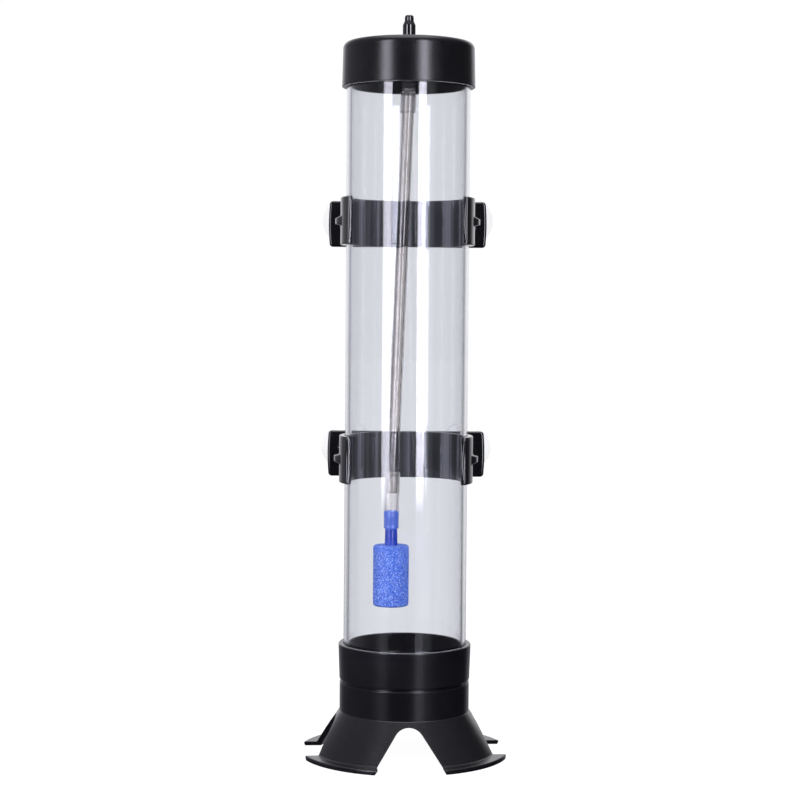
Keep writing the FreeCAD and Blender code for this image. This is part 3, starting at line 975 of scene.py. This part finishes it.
def make_web():
    """Block between the band and the plate, hollowed to follow the band."""
    half, inset = 12.0 * MM, 2.5 * MM
    tall = CLIP_HALF - inset
    web = prism("web", [(-half, -tall), (half, -tall), (half, tall), (-half, tall)],
                21.5 * MM, PLATE_FRONT + 1.0 * MM)
    bevel(web, 0.6 * MM, segments=3, angle_deg=60.0)
    hollow = BAND_BORE + 0.6 * MM
    reach = 20 * MM
    bore = lathe("bore", [(0, -reach), (hollow, -reach), (hollow, reach), (0, reach)], segments=200)
    combine(web, bore, "DIFFERENCE")
    return web


def make_clips():
    """Each clip is one piece: band, web and plate."""
    for level in ("upper", "lower"):
        node = f"{level}_clip"
        low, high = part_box(node)
        centre = (low.z + high.z) / 2
        cup_joint = joints[f"{level}_right_cup_turn"]["pos_m"]
        clip = make_band()
        clip.name = f"{level}_clip_body"
        combine(clip, make_web(), "UNION")
        combine(clip, make_plate(cup_joint[0], cup_joint[2] - centre), "UNION")
        clip.data.transform(Matrix.Translation((0, 0, centre)))
        shade(clip, 32.0)
        weight_normals(clip)
        finish_piece(clip, CLIP_PLASTIC, node, node)


make_clips()


# ---------------------------------------------------------------- suction cups

def cup_outline():
    """Half-section of a relaxed cup in (radius, distance behind the tube's axis)."""
    head = PLATE_FRONT - 0.15 * MM
    seat = PLATE_BACK + 0.15 * MM
    face = 39.0 * MM
    lip = 9.85 * MM
    neck = CUP_HOLE - 0.08 * MM
    head_radius, head_length = 3.0 * MM, 1.9 * MM
    shoulder = 4.4 * MM
    hollow = 4.4 * MM
    return softened([
        (0, head - head_length, 0),
        (2.1 * MM, head - head_length, 0.8 * MM),
        (head_radius, head - 0.6 * MM, 0.4 * MM),
        (head_radius, head, 0.2 * MM),
        (neck, head, 0),
        (neck, seat, 0),
        (shoulder, seat, 0.3 * MM),
        (shoulder, seat + 1.6 * MM, 1.2 * MM),
        (6.3 * MM, seat + 4.1 * MM, 2.5 * MM),
        (lip - 0.1 * MM, face - 0.75 * MM, 0.3 * MM),
        (lip, face, 0.15 * MM),
        (lip - 0.9 * MM, face, 0.1 * MM),
        (5.0 * MM, face - 2.9 * MM, 2.5 * MM),
        (1.5 * MM, face - hollow, 1.0 * MM),
        (0, face - hollow, 0),
    ], steps=6)


def make_cups():
    """Four clear cups, two on each clip's plate."""
    for level in ("upper", "lower"):
        for side in ("left", "right"):
            body = f"{level}_{side}_suction_cup"
            pivot = joints[f"{level}_{side}_cup_turn"]["pos_m"]
            turned = turned_to_back(pivot[0], pivot[2])
            cup = lathe(f"{level}_{side}_cup", cup_outline(), segments=96, place=turned)
            finish_piece(cup, CUP_VINYL, body, body)


make_cups()


# ---------------------------------------------------------------- floor, light and camera

def math_node(tree, operation, first, second):
    """A math node on two sockets or numbers."""
    node = tree.nodes.new("ShaderNodeMath")
    node.operation = operation
    for index, value in enumerate((first, second)):
        if isinstance(value, bpy.types.NodeSocket):
            tree.links.new(value, node.inputs[index])
        else:
            node.inputs[index].default_value = value
    return node.outputs[0]


def seen_directly(tree, most_bounces):
    """1 for what is seen directly or through clear plastic, and 0 after any reflection.

    The count of bounces stands one higher at the world than at a surface.
    """
    path = tree.nodes.new("ShaderNodeLightPath").outputs
    straight = math_node(tree, "MAXIMUM", path["Is Camera Ray"], path["Is Transmission Ray"])
    bounces = math_node(tree, "SUBTRACT", path["Ray Depth"], path["Transmission Depth"])
    few = math_node(tree, "LESS_THAN", bounces, most_bounces)
    return math_node(tree, "MULTIPLY", straight, few)


def shown_by_view(tree, directly, reflected, direct, output_kind):
    """Shows one shader after a reflection and another where it is seen directly."""
    choice = tree.nodes.new("ShaderNodeMixShader")
    output = tree.nodes.new(output_kind)
    tree.links.new(directly, choice.inputs[0])
    tree.links.new(reflected.outputs[0], choice.inputs[1])
    tree.links.new(direct.outputs[0], choice.inputs[2])
    tree.links.new(choice.outputs[0], output.inputs[0])


def bare_tree(holder):
    """The empty node tree of a material or world."""
    holder.use_nodes = True
    holder.node_tree.nodes.clear()
    return holder.node_tree


def studio_light(tree, across, ahead):
    """The light round the object by azimuth: bright behind and darkest on the right."""
    to_front = math_node(tree, "MULTIPLY", ahead, -1.0)
    azimuth = math_node(tree, "ARCTAN2", across, to_front)
    turn = math_node(tree, "ADD", math_node(tree, "DIVIDE", azimuth, 2 * math.pi), 0.5)
    around = [
        (-180, 1.0), (-156, 0.95), (-141, 0.34), (-90, 0.32),
        (-62, 0.2), (-54, 0.4), (-47, 0.55), (-27, 0.12),
        (0, 0.06), (16, 0.12), (36, 0.6), (47, 0.45),
        (56, 0.12), (136, 0.07), (152, 0.95), (180, 1.0),
    ]
    return cool_ramp(tree, turn, [((degrees + 180) / 360, grey) for degrees, grey in around])


def make_floor():
    """A pale floor that glows like the bright sweep round it."""
    bm = bmesh.new()
    half = 6.0
    corners = ((-half, -half), (half, -half), (half, half), (-half, half))
    bm.faces.new([bm.verts.new((x, y, 0)) for x, y in corners])
    floor = new_object("floor", bm)
    material = bpy.data.materials.new("floor")
    tree = bare_tree(material)
    pale = tree.nodes.new("ShaderNodeBsdfDiffuse")
    pale.inputs["Color"].default_value = (0.12, 0.12, 0.12, 1)
    glow = tree.nodes.new("ShaderNodeEmission")
    glow.inputs["Strength"].default_value = 0.95
    lit = tree.nodes.new("ShaderNodeAddShader")
    axes = object_axes(tree)
    studio = tree.nodes.new("ShaderNodeEmission")
    tree.links.new(studio_light(tree, axes["X"], axes["Y"]), studio.inputs["Color"])
    tree.links.new(pale.outputs[0], lit.inputs[0])
    tree.links.new(glow.outputs[0], lit.inputs[1])
    shown_by_view(tree, seen_directly(tree, 0.5), studio, lit, "ShaderNodeOutputMaterial")
    floor.data.materials.append(material)
    floor.visible_glossy = False


def make_world():
    """White behind everything; the studio it reflects is bright behind, darkest on the right."""
    world = bpy.data.worlds.new("studio")
    bpy.context.scene.world = world
    tree = bare_tree(world)
    coordinates = tree.nodes.new("ShaderNodeTexCoord")
    split = tree.nodes.new("ShaderNodeSeparateXYZ")
    tree.links.new(coordinates.outputs["Generated"], split.inputs[0])
    level = studio_light(tree, split.outputs["X"], split.outputs["Y"])
    above_table = math_node(tree, "ADD", split.outputs["Z"], 0.5)
    table = cool_ramp(tree, above_table, [(0.34, 0.3), (0.49, 1.0)])
    sides = tree.nodes.new("ShaderNodeMixRGB")
    sides.blend_type = "MULTIPLY"
    sides.inputs[0].default_value = 1.0
    tree.links.new(level, sides.inputs[1])
    tree.links.new(table, sides.inputs[2])
    overhead = cool_ramp(tree, split.outputs["Z"], [(0.0, 0.0), (0.55, 0.3), (0.84, 0.55), (0.93, 2.6)])
    height = cool_ramp(tree, split.outputs["Z"], [(0.35, 0.0), (0.95, 1.0)])
    mixed = tree.nodes.new("ShaderNodeMixRGB")
    tree.links.new(height, mixed.inputs[0])
    tree.links.new(sides.outputs[0], mixed.inputs[1])
    tree.links.new(overhead, mixed.inputs[2])
    studio = tree.nodes.new("ShaderNodeBackground")
    tree.links.new(mixed.outputs[0], studio.inputs["Color"])
    white = tree.nodes.new("ShaderNodeBackground")
    white.inputs["Strength"].default_value = 1.02
    white.inputs["Color"].default_value = (1, 1, 1, 1)
    shown_by_view(tree, seen_directly(tree, 1.5), studio, white, "ShaderNodeOutputWorld")


def make_softbox(name, azimuth_deg, width_deg, strength, faint):
    """A tall strip of light in front, at an azimuth from -Y, seen only by reflections.

    It goes on faintly below the floor, as its reflection in the table does.
    """
    distance = 0.70
    low, high = -0.25, 0.62
    azimuth = math.radians(azimuth_deg)
    half = distance * math.tan(math.radians(width_deg / 2))
    centre = Vector((math.sin(azimuth) * distance, -math.cos(azimuth) * distance, 0))
    across = Vector((math.cos(azimuth), math.sin(azimuth), 0)) * half
    bm = bmesh.new()
    corners = [centre - across, centre + across]
    bottom = [bm.verts.new(c + Vector((0, 0, low))) for c in corners]
    top = [bm.verts.new(c + Vector((0, 0, high))) for c in corners]
    bm.faces.new((bottom[0], bottom[1], top[1], top[0]))
    box = new_object(name, bm)
    material = bpy.data.materials.new(name)
    tree = bare_tree(material)
    glow = tree.nodes.new("ShaderNodeEmission")
    glow.inputs["Color"].default_value = (1.0, 0.985, 1.12, 1)
    fade = span(tree, object_axes(tree)["Z"], 0.03, 0.06, faint, strength)
    tree.links.new(fade, glow.inputs["Strength"])
    clear = tree.nodes.new("ShaderNodeBsdfTransparent")
    shown_by_view(tree, seen_directly(tree, 0.5), glow, clear, "ShaderNodeOutputMaterial")
    box.data.materials.append(material)
    box.visible_shadow = False


def make_fill_light():
    """A broad soft light from above the camera that leaves no highlight."""
    data = bpy.data.lights.new("fill_light", "AREA")
    data.shape = "RECTANGLE"
    data.size = 1.2
    data.size_y = 0.9
    data.energy = 14.0
    light = bpy.data.objects.new("fill_light", data)
    bpy.context.scene.collection.objects.link(light)
    aim = Vector((0, 0, 0.15))
    place = Vector((-0.35, -1.2, 0.55))
    turn = (aim - place).to_track_quat("-Z", "Y").to_matrix().to_4x4()
    light.matrix_world = Matrix.Translation(place) @ turn
    light.visible_camera = False
    light.visible_glossy = False
    light.visible_transmission = False


def make_camera():
    """Eye level a little above the middle of the tube, looking slightly down."""
    data = bpy.data.cameras.new("camera")
    camera = bpy.data.objects.new("camera", data)
    bpy.context.scene.collection.objects.link(camera)
    data.sensor_width = 36.0
    data.lens = 89.0
    data.clip_start = 0.01
    data.clip_end = 50.0
    pitch, yaw, roll = math.radians(2.67), math.radians(0.185), math.radians(0.43)
    level = Matrix.Rotation(math.pi / 2, 4, "X")
    camera.matrix_world = (
        Matrix.Translation((0, -0.804, 0.1822))
        @ Matrix.Rotation(yaw, 4, "Z")
        @ Matrix.Rotation(-pitch, 4, "X")
        @ level
        @ Matrix.Rotation(roll, 4, "Z")
    )
    bpy.context.scene.camera = camera


make_floor()
make_world()
make_softbox("left_softbox", -38.3, 15.5, 8.4, 0.38)
make_softbox("right_softbox", 26.0, 14.0, 11.0, 0.9)
make_fill_light()
make_camera()
bpy.context.scene.view_settings.view_transform = "Standard"
